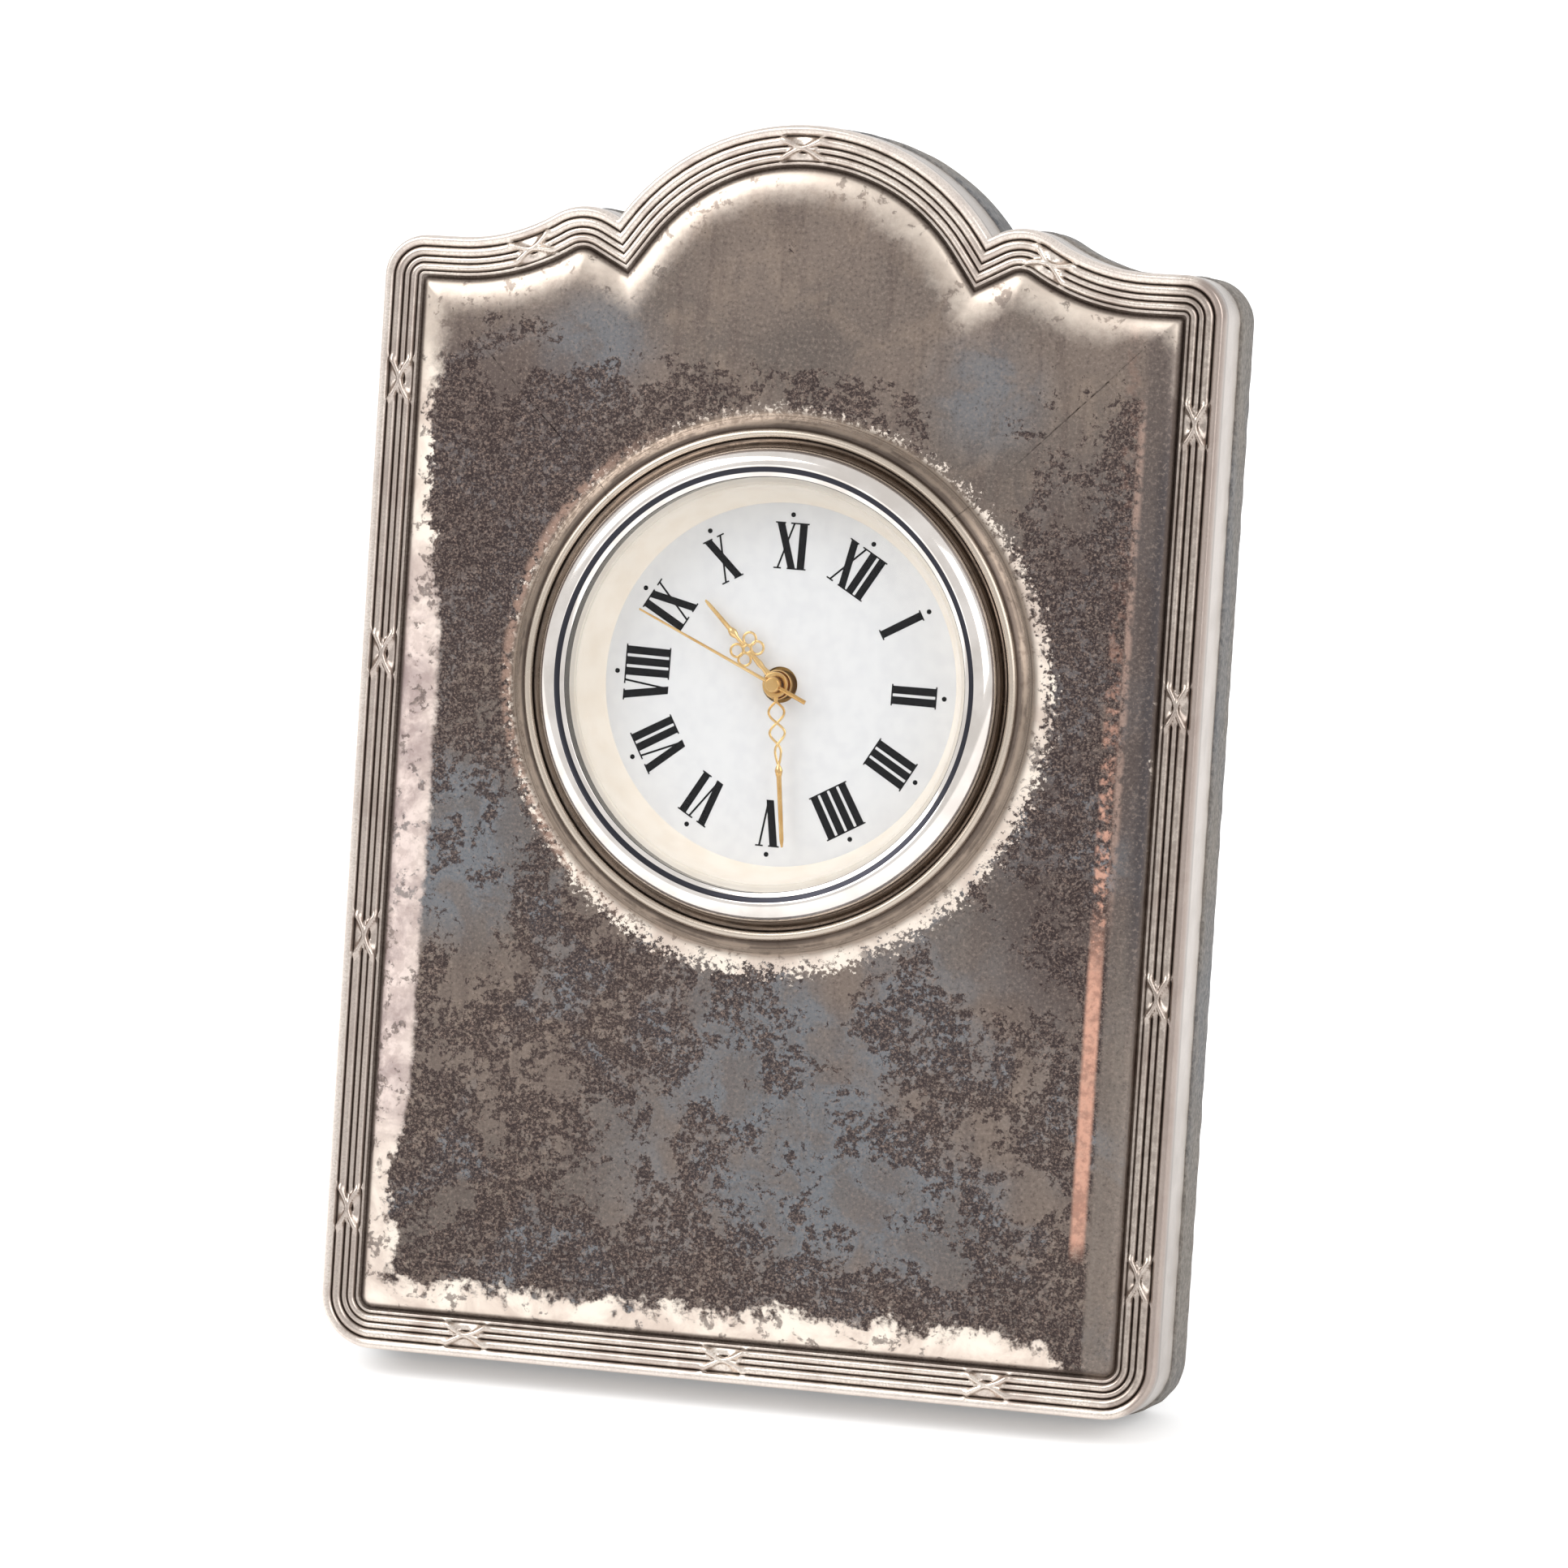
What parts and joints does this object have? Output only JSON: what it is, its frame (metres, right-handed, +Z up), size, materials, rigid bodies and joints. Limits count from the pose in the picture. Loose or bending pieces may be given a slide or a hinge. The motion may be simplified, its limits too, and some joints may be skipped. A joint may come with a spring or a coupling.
{
  "type": "easel clock",
  "caption": "Silver-fronted easel clock with a reeded border, velvet back, folding strut and a pull-out quartz insert.",
  "frame": {"origin": "on the table under the middle of the whole clock's box, as it stands on its board and strut", "axes": "+Z up, +X to the right as one faces the dial, -Y towards the viewer"},
  "size_m": [0.0672, 0.0322, 0.0964],
  "materials": {
    "silver": "tarnished silver, bright on the high edges",
    "velvet": "short grey-blue pile",
    "board": "plain fibreboard",
    "chrome": "mirror polish",
    "glass": "clear flat lens",
    "cream": "glossy cream",
    "dial_white": "satin white enamel",
    "gilt": "polished gilt",
    "brass": "plain brass",
    "steel": "plain steel",
    "rubber": "matt black",
    "grip": "soft translucent plastic",
    "black_plastic": "fine matt",
    "white_plastic": "fine matt",
    "copper": "enamelled copper wire",
    "circuit": "lacquered board"
  },
  "bodies": {
    "frame": {"silver_front": "silver", "filler_board": "board", "back_board": "board", "back_velvet": "velvet", "fixed_leaf": "brass", "back_rivets": "brass", "hinge_pin": "steel"},
    "strut": {"moving_leaf": "brass", "strut_board": "board", "strut_velvet": "velvet", "strut_rivets": "brass"},
    "grip_ring": {"grip_ring": "grip"},
    "clock_case": {"case_cup": "steel", "bezel": "chrome", "lens": "glass", "lens_gasket": "rubber", "rehaut_ring": "cream", "dial": "dial_white", "main_plate": "white_plastic", "rear_bridge": "black_plastic", "bridge_screws": "steel", "stator": "steel", "coil_core": "steel", "coil": "copper", "circuit_board": "circuit", "driver_chip": "black_plastic", "crystal_can": "steel", "battery": "steel", "battery_spring": "brass", "battery_clip": "brass", "back_cover": "steel"},
    "battery_hatch": {"battery_hatch": "steel"},
    "second_hand": {"second_hand": "gilt", "second_wheel": "brass"},
    "minute_hand": {"minute_hand": "gilt", "cannon_pinion": "brass"},
    "hour_hand": {"hour_hand": "gilt", "hour_wheel": "brass"},
    "minute_wheel": {"minute_wheel": "white_plastic"},
    "centre_wheel": {"centre_wheel": "brass"},
    "third_wheel": {"third_wheel": "white_plastic"},
    "idler_wheel": {"idler_wheel": "white_plastic"},
    "rotor": {"rotor": "white_plastic"},
    "set_knob": {"set_gear": "white_plastic", "set_knob": "black_plastic"}
  },
  "joints": [
    {"name": "strut_fold", "type": "hinge", "parent": "frame", "child": "strut", "pos_m": [0, 0.002, 0.02909], "axis": [1, 0, 0], "range_deg": [-25.05, 0]},
    {"name": "clock_pull", "type": "slide", "parent": "frame", "child": "grip_ring", "axis": [0, -0.9732, 0.23], "range_m": [0, 0.011]},
    {"name": "clock_turn", "type": "hinge", "parent": "grip_ring", "child": "clock_case", "pos_m": [0, -0.00376, 0.05481], "axis": [0, -0.9732, 0.23], "continuous": true},
    {"name": "hatch_twist", "type": "hinge", "parent": "clock_case", "child": "battery_hatch", "pos_m": [-0.00358, 0.00778, 0.06277], "axis": [0, -0.9732, 0.23], "range_deg": [0, 30]},
    {"name": "second_spin", "type": "hinge", "parent": "clock_case", "child": "second_hand", "pos_m": [0, -0.00347, 0.05474], "axis": [0, -0.9732, 0.23], "continuous": true},
    {"name": "minute_spin", "type": "hinge", "parent": "clock_case", "child": "minute_hand", "pos_m": [0, -0.00288, 0.0546], "axis": [0, -0.9732, 0.23], "continuous": true},
    {"name": "hour_spin", "type": "hinge", "parent": "clock_case", "child": "hour_hand", "pos_m": [0, -0.0023, 0.05446], "axis": [0, -0.9732, 0.23], "continuous": true},
    {"name": "minute_wheel_spin", "type": "hinge", "parent": "clock_case", "child": "minute_wheel", "pos_m": [0.00227, 0.00095, 0.05757], "axis": [0, -0.9732, 0.23], "continuous": true},
    {"name": "centre_wheel_spin", "type": "hinge", "parent": "clock_case", "child": "centre_wheel", "pos_m": [0, 0.00077, 0.05374], "axis": [0, -0.9732, 0.23], "continuous": true},
    {"name": "third_wheel_spin", "type": "hinge", "parent": "clock_case", "child": "third_wheel", "pos_m": [-0.00551, 0.00101, 0.05478], "axis": [0, -0.9732, 0.23], "continuous": true},
    {"name": "idler_wheel_spin", "type": "hinge", "parent": "clock_case", "child": "idler_wheel", "pos_m": [0.00188, -0.00048, 0.04844], "axis": [0, -0.9732, 0.23], "continuous": true},
    {"name": "rotor_spin", "type": "hinge", "parent": "clock_case", "child": "rotor", "pos_m": [0.00324, -0.0014, 0.04457], "axis": [0, -0.9732, 0.23], "continuous": true},
    {"name": "set_knob_spin", "type": "hinge", "parent": "clock_case", "child": "set_knob", "pos_m": [0.0066, 0.00681, 0.05865], "axis": [0, -0.9732, 0.23], "continuous": true}
  ],
  "couplings": [
    {"joint": "idler_wheel_spin", "follows": "second_spin", "ratio": -5},
    {"joint": "rotor_spin", "follows": "second_spin", "ratio": 30},
    {"joint": "third_wheel_spin", "follows": "second_spin", "ratio": -0.13333},
    {"joint": "centre_wheel_spin", "follows": "second_spin", "ratio": 0.016667},
    {"joint": "minute_wheel_spin", "follows": "minute_spin", "ratio": -0.33333},
    {"joint": "hour_spin", "follows": "minute_spin", "ratio": 0.083333},
    {"joint": "set_knob_spin", "follows": "minute_spin", "ratio": 0.66667}
  ]
}
